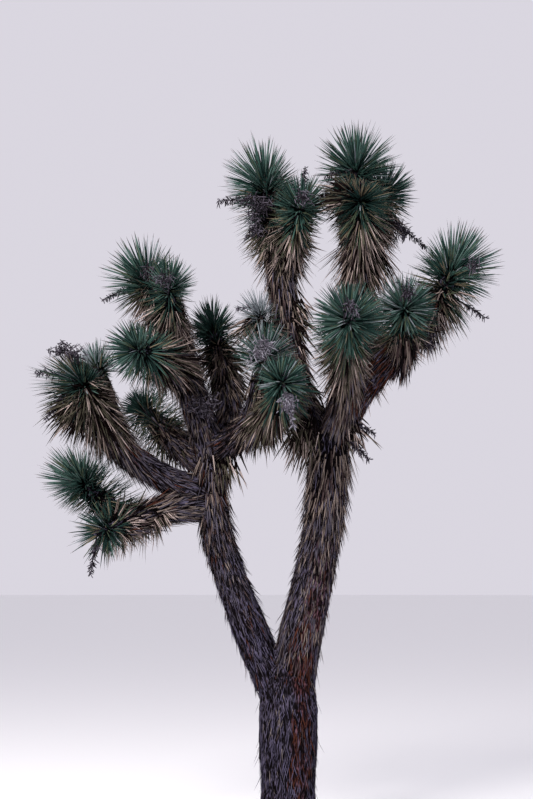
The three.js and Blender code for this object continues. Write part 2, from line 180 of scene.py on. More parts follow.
def smoothLine(points, spacing):
    # A curve through all the points, tight where they are close together, sampled at even steps.
    points = np.array(points, float)
    points = np.vstack((2 * points[0] - points[1], points, 2 * points[-1] - points[-2]))
    share = np.linspace(0, 1, curveSteps, endpoint=False)[:, None]
    fine = []
    for first, second, third, fourth in zip(points, points[1:], points[2:], points[3:]):
        before, middle, after = (math.sqrt(np.linalg.norm(b - a))
                                 for a, b in ((first, second), (second, third), (third, fourth)))
        pace = (third - second) / middle
        leave = ((second - first) / before - (third - first) / (before + middle) + pace) * middle
        arrive = (pace - (fourth - second) / (middle + after) + (fourth - third) / after) * middle
        fine.append(second + leave * share + (3 * (third - second) - 2 * leave - arrive) * share ** 2
                    + (2 * (second - third) + leave + arrive) * share ** 3)
    fine = np.vstack(fine + [points[-2:-1]])
    along = np.concatenate(([0], np.cumsum(np.linalg.norm(np.diff(fine, axis=0), axis=1))))
    count = max(3, int(round(along[-1] / spacing)) + 1)
    even = np.linspace(0, along[-1], count)
    return np.column_stack([np.interp(even, along, fine[:, k]) for k in range(3)]), along[-1]


def carriedFrames(tangents):
    # A sideways direction for each step of a line, turned as little as possible from step to step.
    start = np.cross(tangents[0], (0.0, 1.0, 0.0))
    sideways = [unit(start)]
    for tangent in tangents[1:]:
        last = sideways[-1]
        sideways.append(unit(last - tangent * np.dot(last, tangent)))
    sideways = np.array(sideways)
    return sideways, np.cross(tangents, sideways)


# Sizes of the bark, with shares of a limb's radius.
barkShape = {
    "spacing": 0.02, "skirtShare": 1.05, "trunkShare": 0.96, "heartShare": 0.42, "tipShares": (0.7, 0.25),
    "sides": 28, "logStep": 0.05, "trunkSteps": 50, "trunkVoxel": 0.0085, "boughVoxel": 0.0115,
    "smoothing": 6, "squeeze": 0.17, "limbGap": 1.7, "roundTo": 0.32,
    "ridgeScale": 58.0, "ridgeDepth": 0.012, "ridgeSink": 0.7,
    "lumpScale": 7.0, "lumpDepth": 0.012, "lumpSink": 0.5, "lumpDetail": 3.0,
}

# Thatch: dead leaves that lie down the limbs. Age runs from 0 under a skirt, over 0.8 for the old shaggy part
# of a bough, to 1 for bare bark, where only flat strands are left. Lengths and widths are in metres.
thatchShape = {
    "ages": (0, 0.8, 1.0), "core": (0.85, 0.87, 0.955), "boughAge": 0.9, "youngTo": 0.45,
    "limbAges": ((0, 0.3, 0.6, 0.8, 1), (0.98, 0.93, 0.78, 0.42, 0.15)),
    "cover": (2100, 3200, 2000), "width": (0.0112, 0.0076, 0.0050), "thick": 0.30, "crook": 0.045,
    "shortest": (0.15, 0.05, 0.045), "longest": (0.29, 0.125, 0.13), "past": 0.10, "shift": 0.01,
    "sink": 0.006, "sinkTo": 0.9, "lift": 0.02, "ground": 0.01,
    "spread": (0.16, 0.11, 0.02), "spreadNoise": (0.2, 1.6), "loose": (0.15, 0.20, 0.04), "looseSpread": 0.42,
    "disorder": (0.10, 0.13, 0.24), "droop": (0.22, 0.20, 0.0), "hang": 0.5,
    "youngOutline": [(0.0, 0.85), (0.36, 1.0), (0.78, 0.58)], "oldOutline": [(0.0, 0.8), (0.55, 1.0)],
}


def aged(key, age):
    return np.interp(age, thatchShape["ages"], thatchShape[key])


def lobeSwell(height, angle):
    lobe = trunkShape["lobeSize"] * np.cos(trunkShape["lobes"] * angle)
    return 1 + lobe * np.clip(1 - height / trunkShape["lobeTop"], 0, 1)


def trunkRadius(height, angle):
    heights, radii = zip(*trunkShape["stations"])
    return np.interp(height, heights, radii) * lobeSwell(height, angle)


def layOut(limb):
    points = list(limb["route"]) + ([limb["heart"]] if "heart" in limb else [])
    line, length = smoothLine(points, barkShape["spacing"])
    tangents = unit(np.gradient(line, axis=0))
    sideways, upward = carriedFrames(tangents)
    skirt = barkShape["skirtShare"] * limb.get("side", 0)
    share = np.linspace(0, 1, len(line))
    covered = np.clip(share / (1 - skirt / length), 0, 1)
    radius = limb["radii"][0] + (limb["radii"][1] - limb["radii"][0]) * covered
    behind = (1 - skirt / length - share) * length
    age = np.clip(behind / limb.get("aging", thatchShape["boughAge"]), 0, thatchShape["ages"][1])
    if "heart" not in limb:
        age = np.interp(share, *thatchShape["limbAges"])
    limb.update(line=line, length=length, tangents=tangents, sideways=sideways, upward=upward, share=share,
                skirtFrom=1 - skirt / length, radius=radius, age=age, core=radius * aged("core", age))
    if "heart" in limb:
        tip = line[np.searchsorted(share, limb["skirtFrom"])]
        limb["heart"] = np.array(limb["heart"], float)
        limb["axis"] = unit(limb["heart"] - tip)
        limb["facing"] = unit(np.array(limb.get("face", limb["axis"]), float))


def layOutTrunk():
    top = trunkShape["stations"][-1][0]
    heights = np.arange(0, top, barkShape["spacing"])
    line = np.column_stack((trunkShape["lean"] * heights, np.zeros(len(heights)), heights))
    tangents = np.tile((0.0, 0.0, 1.0), (len(heights), 1))
    sideways, upward = carriedFrames(tangents)
    radius = trunkRadius(heights, math.pi / 2 / trunkShape["lobes"])
    return {"name": "trunk", "line": line, "length": top, "tangents": tangents, "sideways": sideways,
            "upward": upward, "share": heights / top, "skirtFrom": 1.0, "radius": radius,
            "age": np.ones(len(heights)), "core": radius * barkShape["trunkShare"]}


trunk = layOutTrunk()
for limb in limbs + boughs:
    layOut(limb)
print("laid out", len(limbs), "limbs and", len(boughs), "boughs")


def deselect():
    bpy.ops.object.select_all(action="DESELECT")


def makeActive(piece):
    deselect()
    piece.select_set(True)
    bpy.context.view_layer.objects.active = piece


def applyModifier(piece, kind, **settings):
    modifier = piece.modifiers.new(kind.lower(), kind)
    for key, value in settings.items():
        setattr(modifier, key, value)
    makeActive(piece)
    bpy.ops.object.modifier_apply(modifier=modifier.name)


def readPlaces(piece):
    places = np.empty(len(piece.data.vertices) * 3)
    piece.data.vertices.foreach_get("co", places)
    return places.reshape(-1, 3)


def extrudeLog(name, radii, step):
    # A straight log up +Z: a circle extruded and resized from station to station.
    deselect()
    bpy.ops.mesh.primitive_circle_add(vertices=barkShape["sides"], radius=radii[0], fill_type="NGON")
    log = bpy.context.active_object
    log.name = name
    bpy.ops.object.mode_set(mode="EDIT")
    bpy.ops.mesh.select_all(action="SELECT")
    for index in range(1, len(radii)):
        bpy.ops.mesh.extrude_region_move(TRANSFORM_OT_translate={"value": (0, 0, step)})
        ratio = radii[index] / radii[index - 1]
        bpy.ops.transform.resize(value=(ratio, ratio, 1), center_override=(0, 0, step * index))
    bpy.ops.mesh.select_all(action="SELECT")
    bpy.ops.mesh.normals_make_consistent(inside=False)
    bpy.ops.object.mode_set(mode="OBJECT")
    return log


def bendAlong(log, line):
    # The log is bent along a guide curve, and the guide is then removed.
    data = bpy.data.curves.new("guide", "CURVE")
    data.dimensions = "3D"
    spline = data.splines.new("POLY")
    spline.points.add(len(line) - 1)
    spline.points.foreach_set("co", np.column_stack((line, np.ones(len(line)))).ravel())
    guide = bpy.data.objects.new("guide", data)
    bpy.context.scene.collection.objects.link(guide)
    applyModifier(log, "CURVE", object=guide, deform_axis="POS_Z")
    bpy.data.objects.remove(guide)


def barkLog(limb):
    count = max(3, int(round(limb["length"] / barkShape["logStep"])))
    share = np.linspace(0, 1, count + 1)
    radii = np.interp(share, limb["share"], limb["core"])
    if "heart" in limb:  # inside the skirt the stem thins out to the heart
        inSkirt = np.clip((share - limb["skirtFrom"]) / (1 - limb["skirtFrom"]), 0, 1)
        radii *= 1 - (1 - barkShape["heartShare"]) * inSkirt
    radii = list(radii) + [radii[-1] * tipShare for tipShare in barkShape["tipShares"]]
    log = extrudeLog(limb["name"] + "_log", radii, limb["length"] / count)
    bendAlong(log, limb["line"])
    return log


def trunkLog():
    heights, radii = zip(*trunkShape["stations"])
    count = barkShape["trunkSteps"]
    levels = np.linspace(0, heights[-1], count + 1)
    log = extrudeLog("trunk_log", list(np.interp(levels, heights, radii) * barkShape["trunkShare"]),
                     heights[-1] / count)
    places = readPlaces(log)
    swell = lobeSwell(places[:, 2], np.arctan2(places[:, 1], places[:, 0]))
    places[:, 0] = places[:, 0] * swell + trunkShape["lean"] * places[:, 2]
    places[:, 1] *= swell
    log.data.vertices.foreach_set("co", places.ravel())
    return log


def joinPieces(pieces, name):
    deselect()
    for piece in pieces:
        piece.select_set(True)
    bpy.context.view_layer.objects.active = pieces[0]
    bpy.ops.object.join()
    joined = bpy.context.active_object
    joined.name = name
    joined.data.name = name
    return joined


def straightenedPlaces(places, lines):
    # Where each point would be if its limb were straight and upright, squeezed along the limb.
    samples, sideways, upward, tangents = (np.vstack([limb[key] for limb in lines])
                                           for key in ("line", "sideways", "upward", "tangents"))
    radius = np.concatenate([limb["radius"] for limb in lines])
    along = np.concatenate([limb["share"] * limb["length"] + barkShape["limbGap"] * k
                            for k, limb in enumerate(lines)])
    straight = np.empty((len(places), 3))
    for start in range(0, len(places), blockSize):
        part = places[start:start + blockSize]
        apart = np.linalg.norm(part[:, None] - samples[None], axis=2) / radius[None]
        near = apart.argmin(axis=1)
        offset = part - samples[near]
        right, up, onward = ((offset * way[near]).sum(axis=1) for way in (sideways, upward, tangents))
        onAxis = (along[near] + onward) * barkShape["squeeze"]
        straight[start:start + blockSize] = np.column_stack((right, up, onAxis))
    return straight


def addNode(tree, kind, inputs=None, **settings):
    # A node with its settings. Each input gets a plain value, or the output that it is linked to.
    node = tree.nodes.new(kind)
    for key, value in settings.items():
        setattr(node, key, value)
    for key, value in (inputs or {}).items():
        if isinstance(value, bpy.types.NodeSocket):
            tree.links.new(value, node.inputs[key])
        else:
            node.inputs[key].default_value = value
    return node


def reliefNodes():
    # Moves the surface in and out by long ridges and soft lumps, and keeps the ridges as an attribute, which
    # the bark reads to paint shade in its grooves.
    tree = bpy.data.node_groups.new("barkRelief", "GeometryNodeTree")
    for way in ("INPUT", "OUTPUT"):
        tree.interface.new_socket("Geometry", in_out=way, socket_type="NodeSocketGeometry")
    start = addNode(tree, "NodeGroupInput")
    straight = addNode(tree, "GeometryNodeInputNamedAttribute", {"Name": "limbSpace"},
                       data_type="FLOAT_VECTOR")
    ridges = addNode(tree, "ShaderNodeTexVoronoi",
                     {"Scale": barkShape["ridgeScale"], "Vector": straight.outputs["Attribute"]},
                     feature="DISTANCE_TO_EDGE")
    rounded = addNode(tree, "ShaderNodeMapRange",
                      {"From Max": barkShape["roundTo"], "Value": ridges.outputs["Distance"]},
                      interpolation_type="SMOOTHSTEP")
    lumps = addNode(tree, "ShaderNodeTexNoise",
                    {"Scale": barkShape["lumpScale"], "Detail": barkShape["lumpDetail"]})
    keep = addNode(tree, "GeometryNodeStoreNamedAttribute",
                   {"Name": "relief", "Geometry": start.outputs[0], "Value": rounded.outputs["Result"]},
                   data_type="FLOAT", domain="POINT")
    heights = []
    for kind, source in (("ridge", rounded.outputs["Result"]), ("lump", lumps.outputs[0])):
        depth = barkShape[kind + "Depth"]
        scaled = addNode(tree, "ShaderNodeMath", {0: source, 1: depth, 2: -depth * barkShape[kind + "Sink"]},
                         operation="MULTIPLY_ADD")
        heights.append(scaled.outputs[0])
    height = addNode(tree, "ShaderNodeMath", {0: heights[0], 1: heights[1]})
    normal = addNode(tree, "GeometryNodeInputNormal")
    push = addNode(tree, "ShaderNodeVectorMath", {0: normal.outputs[0], "Scale": height.outputs[0]},
                   operation="SCALE")
    move = addNode(tree, "GeometryNodeSetPosition",
                   {"Geometry": keep.outputs["Geometry"], "Offset": push.outputs[0]})
    addNode(tree, "NodeGroupOutput", {0: move.outputs["Geometry"]})
    return tree


def finishBark(piece, lines, voxel, relief):
    applyModifier(piece, "REMESH", mode="VOXEL", voxel_size=voxel)
    applyModifier(piece, "SMOOTH", factor=0.5, iterations=barkShape["smoothing"])
    limbSpace = piece.data.attributes.new("limbSpace", "FLOAT_VECTOR", "POINT")
    limbSpace.data.foreach_set("vector", straightenedPlaces(readPlaces(piece), lines).ravel())
    applyModifier(piece, "NODES", node_group=relief)
    places = readPlaces(piece)
    places[:, 2] = np.maximum(places[:, 2], 0)  # the cut at the ground stays flat
    piece.data.vertices.foreach_set("co", places.ravel())
    makeActive(piece)
    bpy.ops.object.shade_smooth()
    print(piece.name, len(piece.data.polygons), "faces")
    return piece


relief = reliefNodes()
trunkBark = finishBark(joinPieces([trunkLog()] + [barkLog(limb) for limb in limbs], "trunkBark"),
                       [trunk] + limbs, barkShape["trunkVoxel"], relief)
boughBark = finishBark(joinPieces([barkLog(bough) for bough in boughs], "boughBark"),
                       boughs, barkShape["boughVoxel"], relief)


# Blades of every kind: a three-sided spike with a keel, bent along its length. An outline lists
# shares of the length with shares of the width, from the root to just before the point. The first faces
# are the root's end and the stretch above it, where a batch may paint shade, and the last ones are the point.
rootShadeFaces, pointFaces = 7, 3


def bladeArrays(root, along, across, length, width, thick, bend, outline):
    above = np.cross(across, along)
    corners = []
    for share, wide in outline:
        middle = root + along * (length * share)[:, None] + bend * share ** 2
        half = across * (width * wide / 2)[:, None]
        corners += [middle - half, middle + half, middle - above * (thick * wide)[:, None]]
    corners.append(root + along * length[:, None] + bend)
    return np.stack(corners, axis=1)


def bladeFaces(stations):
    faces = [(0, 2, 1)]
    for k in range(stations - 1):
        for a, b in ((0, 1), (1, 2), (2, 0)):
            a, b = a + 3 * k, b + 3 * k
            faces += [(a, b, b + 3), (a, b + 3, a + 3)]
    last, tip = 3 * (stations - 1), 3 * stations
    return np.array(faces + [(last, last + 1, tip), (last + 1, last + 2, tip), (last + 2, last, tip)])


def bladePiece(name, batches, materials):
    # Joins batches of blades into one mesh, with a tone for each blade, painted shade on the roots and a tone
    # for points.
    vertices, faces, tones = [], [], []
    count = 0
    for batch in batches:
        places = bladeArrays(outline=batch["outline"], **batch["arrays"])
        template = bladeFaces(len(batch["outline"]))
        perBlade = places.shape[1]
        starts = count + np.arange(len(places)) * perBlade
        vertices.append(places.reshape(-1, 3))
        faces.append((template[None] + starts[:, None, None]).reshape(-1, 3))
        faceTones = np.repeat(batch["tones"][:, None], len(template), axis=1)
        # Painted shade: the first faces of a blade get a darker tone, as shade among crowded roots.
        if batch["rootShade"] is not None:
            faceTones[:, :rootShadeFaces] = np.reshape(batch["rootShade"], (-1, 1))
        if batch["pointTone"] is not None:
            faceTones[:, -pointFaces:] = batch["pointTone"]
        tones.append(faceTones.ravel())
        count += len(places) * perBlade
    vertices, faces, tones = np.vstack(vertices), np.vstack(faces), np.concatenate(tones)
    mesh = bpy.data.meshes.new(name)
    mesh.vertices.add(len(vertices))
    mesh.vertices.foreach_set("co", vertices.ravel())
    mesh.loops.add(len(faces) * 3)
    mesh.polygons.add(len(faces))
    mesh.polygons.foreach_set("loop_start", np.arange(len(faces)) * 3)
    mesh.polygons.foreach_set("vertices", faces.ravel())
    for material in materials:
        mesh.materials.append(material)
    mesh.polygons.foreach_set("material_index", tones.astype(np.int32))
    mesh.update(calc_edges=True)
    mesh.validate()
    piece = bpy.data.objects.new(name, mesh)
    bpy.context.scene.collection.objects.link(piece)
    print(name, len(faces), "triangles")
    return piece


# Colours are as seen, in sRGB shares. The tones of a kind are dealt out blade by blade.
def linear(colour):
    return [c / 12.92 if c <= 0.04045 else ((c + 0.055) / 1.055) ** 2.4 for c in colour] + [1.0]


def colourMix(tree, share, first, second):
    shades = [linear(shade) if isinstance(shade, tuple) else shade for shade in (first, second)]
    return addNode(tree, "ShaderNodeMix", {0: share, 6: shades[0], 7: shades[1]}, data_type="RGBA").outputs[2]


weatherShape = {"detail": 4.0, "contrast": (0.35, 0.68), "grainScale": 190.0, "grainDetail": 3.0,
                "roughness": (0.62, 0.98), "bumpDistance": 0.003, "gloss": 0.03}


def weatheredGroup():
    # Mottles a base colour and roughens it, by noise on the object's own coordinates.
    group = bpy.data.node_groups.new("weathered", "ShaderNodeTree")
    sockets = {
        "INPUT": {"Base": "Color", "Shade": "Color", "Scale": "Float", "Amount": "Float", "Bump": "Float"},
        "OUTPUT": {"Color": "Color", "Roughness": "Float", "Normal": "Vector"},
    }
    for way, kinds in sockets.items():
        for name, kind in kinds.items():
            group.interface.new_socket(name, in_out=way, socket_type="NodeSocket" + kind)
    start = addNode(group, "NodeGroupInput").outputs
    places = addNode(group, "ShaderNodeTexCoord").outputs["Object"]
    broad = addNode(group, "ShaderNodeTexNoise",
                    {"Detail": weatherShape["detail"], "Vector": places, "Scale": start["Scale"]})
    low, high = weatherShape["contrast"]
    contrast = addNode(group, "ShaderNodeMapRange",
                       {"From Min": low, "From Max": high, "Value": broad.outputs[0]})
    strength = addNode(group, "ShaderNodeMath", {0: contrast.outputs["Result"], 1: start["Amount"]},
                       operation="MULTIPLY")
    mottled = colourMix(group, strength.outputs[0], start["Base"], start["Shade"])
    grain = addNode(group, "ShaderNodeTexNoise", {"Scale": weatherShape["grainScale"],
                                                  "Detail": weatherShape["grainDetail"], "Vector": places})
    low, high = weatherShape["roughness"]
    rough = addNode(group, "ShaderNodeMapRange", {"To Min": low, "To Max": high, "Value": grain.outputs[0]})
    bump = addNode(group, "ShaderNodeBump", {"Distance": weatherShape["bumpDistance"],
                                             "Strength": start["Bump"], "Height": grain.outputs[0]})
    addNode(group, "NodeGroupOutput", {"Color": mottled, "Roughness": rough.outputs["Result"],
                                       "Normal": bump.outputs[0]})
    return group


weathered = weatheredGroup()


def bladeMaterial(name, colour, shade, scale=6.0, amount=0.6, bump=0.25):
    material = bpy.data.materials.new(name)
    material.use_nodes = True
    tree = material.node_tree
    surface = tree.nodes["Principled BSDF"].inputs
    surface["Specular IOR Level"].default_value = weatherShape["gloss"]
    tone = addNode(tree, "ShaderNodeGroup", {"Base": linear(colour), "Shade": linear(shade), "Scale": scale,
                                             "Amount": amount, "Bump": bump}, node_tree=weathered)
    for key, socket in (("Color", "Base Color"), ("Roughness", "Roughness"), ("Normal", "Normal")):
        tree.links.new(tone.outputs[key], surface[socket])
    return material


leafTones = [bladeMaterial(*tone) for tone in (
    ("leafTeal", (0.235, 0.34, 0.31), (0.16, 0.25, 0.235)),
    ("leafBlueGreen", (0.335, 0.43, 0.40), (0.23, 0.32, 0.305)),
    ("leafDeep", (0.13, 0.21, 0.195), (0.08, 0.15, 0.14)),
    ("leafOlive", (0.30, 0.34, 0.27), (0.20, 0.24, 0.19)),
    ("leafFading", (0.46, 0.42, 0.35), (0.33, 0.30, 0.25)),
    ("leafPoint", (0.27, 0.24, 0.23), (0.19, 0.16, 0.16)),
    # A near-black green that paints shade on the roots of leaves.
    ("leafRootShade", (0.08, 0.115, 0.105), (0.05, 0.075, 0.07)),
    ("leafPale", (0.54, 0.57, 0.59), (0.41, 0.44, 0.46)),
)]
leafTeal, leafBlueGreen, leafDeep, leafOlive, leafFading, leafPoint, leafRootShade, leafPale = range(8)
strawTones = [bladeMaterial(*tone) for tone in (
    ("strawPale", (0.71, 0.64, 0.615), (0.54, 0.48, 0.46)),
    ("strawTan", (0.465, 0.41, 0.39), (0.33, 0.285, 0.275)),
    ("strawOlive", (0.30, 0.285, 0.24), (0.21, 0.20, 0.17)),
    # strawDark is a dark straw and also paints the shade at the roots of dead leaves.
    ("strawDark", (0.075, 0.045, 0.045), (0.045, 0.028, 0.03)),
)]
strawPale, strawTan, strawOlive, strawDark = range(4)
thatchTones = [bladeMaterial(*tone) for tone in (
    ("thatchAsh", (0.345, 0.325, 0.37), (0.22, 0.205, 0.245)),
    ("thatchDun", (0.30, 0.245, 0.245), (0.19, 0.15, 0.155)),
    ("thatchRust", (0.32, 0.18, 0.135), (0.185, 0.095, 0.075)),
    # thatchUmber is a dark dead leaf and also paints the shade at the roots of young thatch.
    ("thatchUmber", (0.065, 0.045, 0.055), (0.04, 0.028, 0.035)),
    ("thatchPale", (0.47, 0.43, 0.42), (0.34, 0.31, 0.31)),
    ("thatchStraw", (0.51, 0.455, 0.425), (0.37, 0.325, 0.305)),
    ("thatchSlate", (0.345, 0.325, 0.41), (0.20, 0.185, 0.25)),
)]
thatchAsh, thatchDun, thatchRust, thatchUmber, thatchPale, thatchStraw, thatchSlate = range(7)
stalkTones = [bladeMaterial(*tone) for tone in (
    ("stalkMauve", (0.345, 0.325, 0.365), (0.24, 0.225, 0.26)),
    ("stalkDusk", (0.155, 0.14, 0.165), (0.10, 0.09, 0.11)),
    ("stalkBleached", (0.53, 0.52, 0.56), (0.40, 0.39, 0.43)),
)]
stalkMauve, stalkDusk, stalkBleached = range(3)


# Where the bark is red-brown: the direction, how far round it goes, how strong it is and up to which height.
# tan is the part of a patch's loose leaves that is straw above the height tanFrom.
rustPatches = {
    "trunk": {"toward": (0.48, -0.88, 0), "from": 0.90, "rise": 9.0, "most": 0.72, "top": 1.5},
    "right_limb": {"toward": (0.30, -0.95, 0), "from": 0.78, "rise": 4.0, "most": 0.45, "top": 2.0,
                   "tan": 0.75},
    "far_right": {"toward": (0, -0.9, -0.3), "from": 0.20, "rise": 2.0, "most": 0.40, "top": 9.0},
}
rustShape = {
    "waves": ((0.03, 9, 0), (0.02, 23, 1)), "least": 0.02, "topFade": 1.5, "tanFrom": 1.10, "tanRise": 3,
    "heights": (0, 0.70, 0.95), "strengths": (0.5, 0.6, 1), "fork": 1.0, "reach": 0.26,
}


def rustShare(name, outward, height):
    patch = rustPatches[name]
    sheltered = outward @ unit(np.array(patch["toward"], float))
    edge = patch["from"]
    for size, rate, start in rustShape["waves"]:
        edge = edge + size * np.sin(rate * height + start)
    share = np.clip((sheltered - edge) * patch["rise"], rustShape["least"], patch["most"])
    share = share * np.clip((patch["top"] - height) * rustShape["topFade"], 0, 1)
    return share * np.interp(height, rustShape["heights"], rustShape["strengths"])


def storeRust(piece):
    # Keeps the red-brown share of each point of the bark as an attribute.
    places = readPlaces(piece)
    height = places[:, 2]
    share = np.zeros(len(places))
    for limb, chosen in ((trunk, height < rustShape["fork"]), (limbs[0], height >= rustShape["fork"])):
        line = limb["line"]
        away = [places[:, k] - np.interp(height, line[:, 2], line[:, k]) for k in (0, 1)]
        away = np.column_stack(away + [0 * height])
        near = chosen & (np.linalg.norm(away, axis=1) < rustShape["reach"])
        share = np.where(near, rustShare(limb["name"], unit(away), height), share)
    piece.data.attributes.new("rust", "FLOAT", "POINT").data.foreach_set("value", share)


# The net in the bark: the noise that wavers it, its cells, where a ridge begins and ends, and its colours,
# one of them painted shade for the relief's grooves.
netShape = {
    "waver": 24.0, "waverBy": 0.012, "cells": 76.0, "ridge": (0.02, 0.17), "rustRidge": (0.40, 0.18, 0.12),
    "hollow": (0.045, 0.035, 0.045), "rustHollow": (0.15, 0.055, 0.045), "creaseShade": (0.03, 0.02, 0.026),
}


def barkMaterial():
    # A net of thin grey ridges over near-black hollows, red-brown in patches, with painted shade in the
    # grooves between the plates.
    material = bladeMaterial("barkNetted", (0.345, 0.325, 0.40), (0.18, 0.16, 0.21), scale=16.0, amount=0.9,
                             bump=0.5)
    tree = material.node_tree
    base = tree.nodes["Principled BSDF"].inputs["Base Color"]
    tone = base.links[0].from_socket
    straight, relief, rust = (addNode(tree, "ShaderNodeAttribute", attribute_name=name).outputs
                              for name in ("limbSpace", "relief", "rust"))
    waver = addNode(tree, "ShaderNodeTexNoise", {"Scale": netShape["waver"], "Vector": straight["Vector"]})
    bent = addNode(tree, "ShaderNodeVectorMath",
                   {0: waver.outputs["Color"], 1: (netShape["waverBy"],) * 3, 2: straight["Vector"]},
                   operation="MULTIPLY_ADD")
    cells = addNode(tree, "ShaderNodeTexVoronoi", {"Scale": netShape["cells"], "Vector": bent.outputs[0]},
                    feature="DISTANCE_TO_EDGE")
    low, high = netShape["ridge"]
    net = addNode(tree, "ShaderNodeMapRange",
                  {"From Min": low, "From Max": high, "To Min": 1.0, "To Max": 0.0,
                   "Value": cells.outputs["Distance"]},
                  interpolation_type="SMOOTHSTEP")
    ridges = colourMix(tree, rust["Fac"], tone, netShape["rustRidge"])
    hollows = colourMix(tree, rust["Fac"], netShape["hollow"], netShape["rustHollow"])
    netted = colourMix(tree, net.outputs["Result"], hollows, ridges)
    # Painted shade: the grooves of the relief turn near-black.
    tree.links.new(colourMix(tree, relief["Fac"], netShape["creaseShade"], netted), base)
    return material


storeRust(trunkBark)
bark = barkMaterial()
for piece in (trunkBark, boughBark):
    piece.data.materials.clear()
    piece.data.materials.append(bark)


# Rows of balls along the limbs and through the rosettes' hearts, which leaves keep clear of. A heart's ball
# is a share of the rosette's side, a leaf is tried at steps along its length, and distances are in metres.
ballShape = {"heart": 0.30, "neighbour": 0.4, "near": 1.0, "steps": (0.3, 1, 12), "clear": 0.004,
             "stepBack": 0.06, "buried": 0.012}


def bulkBalls():
    places, radii, owners = [], [], []
    for limb in [trunk] + limbs + boughs:
        keep = limb["share"] <= limb["skirtFrom"]
        places.append(limb["line"][keep])
        radii.append(limb["core"][keep])
        owners += [limb["name"]] * int(keep.sum())
    for bough in boughs:
        places.append(bough["heart"][None])
        radii.append(np.array([ballShape["heart"] * bough["side"]]))
        owners.append(bough["name"])
    return np.vstack(places), np.concatenate(radii), np.array(owners)


ballPlaces, ballRadii, ballOwners = bulkBalls()


def roomFor(bough, root, tip, overlap):
    # The share of its length that each leaf may have before it reaches a limb or another's space.
    allowed = np.ones(len(root))
    for other in boughs:
        across = other["heart"] - bough["heart"]
        apart = np.linalg.norm(across)
        if other is bough or apart > bough["reach"] + other["reach"] + ballShape["neighbour"]:
            continue
        across = across / apart
        plane = apart * bough["side"] / (bough["side"] + other["side"]) + overlap
        start = (root - bough["heart"]) @ across
        end = (tip - bough["heart"]) @ across
        cross = np.where(end > plane, (plane - start) / np.maximum(end - start, 1e-6), 1)
        allowed = np.minimum(allowed, np.clip(cross, 0, 1))
    near = np.linalg.norm(ballPlaces - bough["heart"], axis=1) < ballShape["near"]
    near &= ballOwners != bough["name"]
    centres, radii = ballPlaces[near], ballRadii[near]
    for share in np.linspace(*ballShape["steps"]):
        point = root + (tip - root) * share
        apart = np.linalg.norm(point[:, None] - centres[None], axis=2)
        blocked = (apart < radii[None] + ballShape["clear"]).any(axis=1)
        allowed = np.where(blocked, np.minimum(allowed, share - ballShape["stepBack"]), allowed)
    return allowed


def ringOut(axis, turn, tilt):
    # Directions out of an axis, and directions tilted away from it.
    level = (1.0, 0, 0) if abs(axis[2]) > 0.9 else (0, 0, 1.0)
    right = unit(np.cross(axis, level))
    up = np.cross(right, axis)
    outward = right * np.cos(turn)[:, None] + up * np.sin(turn)[:, None]
    return outward, axis * np.cos(tilt)[:, None] + outward * np.sin(tilt)[:, None]


# All leaves: the usual side of a rosette, how much a short bough squeezes them, and how they roll and vary.
leafShape = {"usualSide": 0.28, "squeeze": 1.5, "roll": 0.25, "widths": (0.75, 1.15)}


def stemPlaces(bough, behind):
    # Points on the bough's line at distances behind its heart, which a short bough squeezes together.
    behind = behind * min(1.0, leafShape["squeeze"] * bough["length"])
    steps = np.arange(len(bough["line"]))
    share = np.clip(1 - behind / bough["length"], 0, 1) * steps[-1]
    return np.column_stack([np.interp(share, steps, bough["line"][:, k]) for k in range(3)])


def leafBatch(root, tip, facing, shape, sag, tones, rootShade=None, pointTone=None):
    # Leaves between roots and tips, with their flat side to the direction that they face. They sag by a share
    # of their length.
    along = unit(tip - root)
    length = np.linalg.norm(tip - root, axis=1)
    across = np.cross(along, facing) + draw.normal(0, leafShape["roll"], (len(root), 3))
    across = unit(across - along * (across * along).sum(axis=1)[:, None])
    width = shape["width"] * draw.uniform(*leafShape["widths"], len(root))
    crook = draw.normal(0, shape["crook"], (len(root), 3)) * length[:, None]
    arrays = {"root": root, "along": along, "across": across, "length": length, "width": width,
              "thick": width * shape["thick"], "bend": downward * (sag * length)[:, None] + crook}
    return {"arrays": arrays, "outline": shape["outline"], "tones": tones, "rootShade": rootShade,
            "pointTone": pointTone}


def spiral(shape, count):
    # The share of the way round and the turn of each leaf, one golden angle after the other.
    order = np.arange(count)
    return (order + 0.5) / count, order * goldenAngle + draw.uniform(0, shape["turnNoise"], count)


def leafLengths(bough, shape, count):
    return draw.uniform(*shape["length"], count) * (bough["side"] / leafShape["usualSide"]) ** shape["grow"]


def dealTones(edges, tones, count):
    # Deals out tones by chance. An edge is the sum of the shares up to its tone, and the last has none.
    chance = draw.uniform(0, 1, count)
    return np.select([chance < edge for edge in edges], tones[:-1], tones[-1])


def heldBack(bough, key, direction):
    # The share of its length that a leaf keeps in the directions where the bough's leaves are short.
    return 1 - np.clip(direction @ np.array(bough.get(key, (0, 0, 0)), float), 0, 1)


def slimmed(bough, shape):
    factor = math.sqrt(bough["side"] / leafShape["usualSide"])
    return dict(shape, width=shape["width"] * factor * bough.get("slim", 1))


def trimmed(bough, root, tip, shape):
    # Shortens leaves that would leave their space or touch a limb, and says which are long enough to stay.
    overlap = shape["overlap"] + (bough.get("room", 0) if shape is skirtShape else 0)
    allowed = roomFor(bough, root, tip, overlap)
    return root + (tip - root) * allowed[:, None], allowed >= shape["shortest"]


